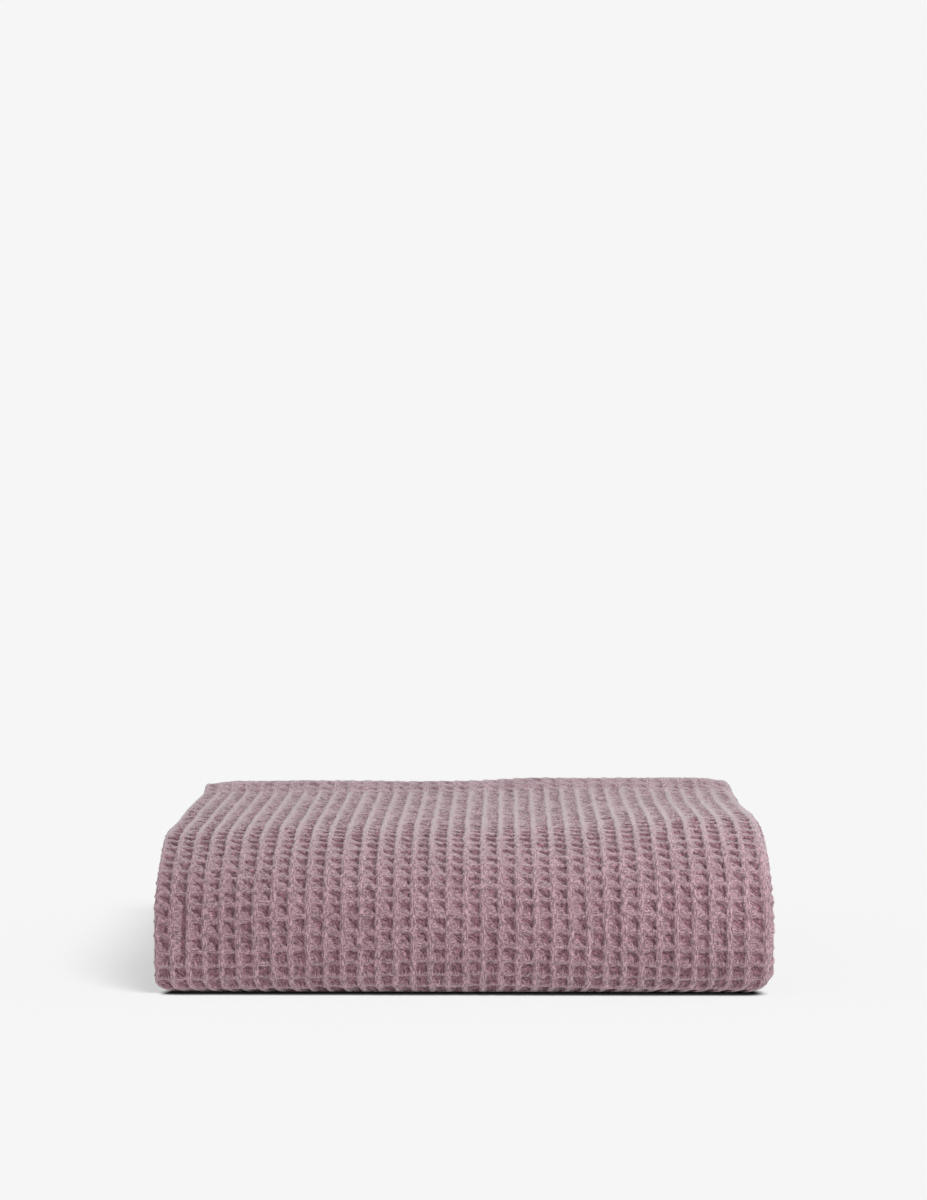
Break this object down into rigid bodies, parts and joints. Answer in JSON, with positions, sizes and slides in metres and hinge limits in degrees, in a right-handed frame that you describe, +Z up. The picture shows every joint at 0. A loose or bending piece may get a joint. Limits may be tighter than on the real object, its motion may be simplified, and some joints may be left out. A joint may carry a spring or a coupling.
{
  "type": "folded waffle weave cotton blanket",
  "caption": "Cotton blanket in a waffle weave, folded into a soft rectangular pad with one large rounded fold at the front, lying flat.",
  "frame": {"origin": "middle of the flat underside of the folded blanket", "axes": "+Z up, -Y towards the large front fold, +X to the right seen from the front"},
  "size_m": [0.3734, 0.39, 0.1026],
  "materials": {
    "waffle_cotton": "matt dusty mauve cotton in a waffle weave of about ten millimetre cells, soft raised ribs and sunk cells, slightly fuzzy"
  },
  "bodies": {
    "root": {"blanket": "waffle_cotton"}
  },
  "joints": []
}
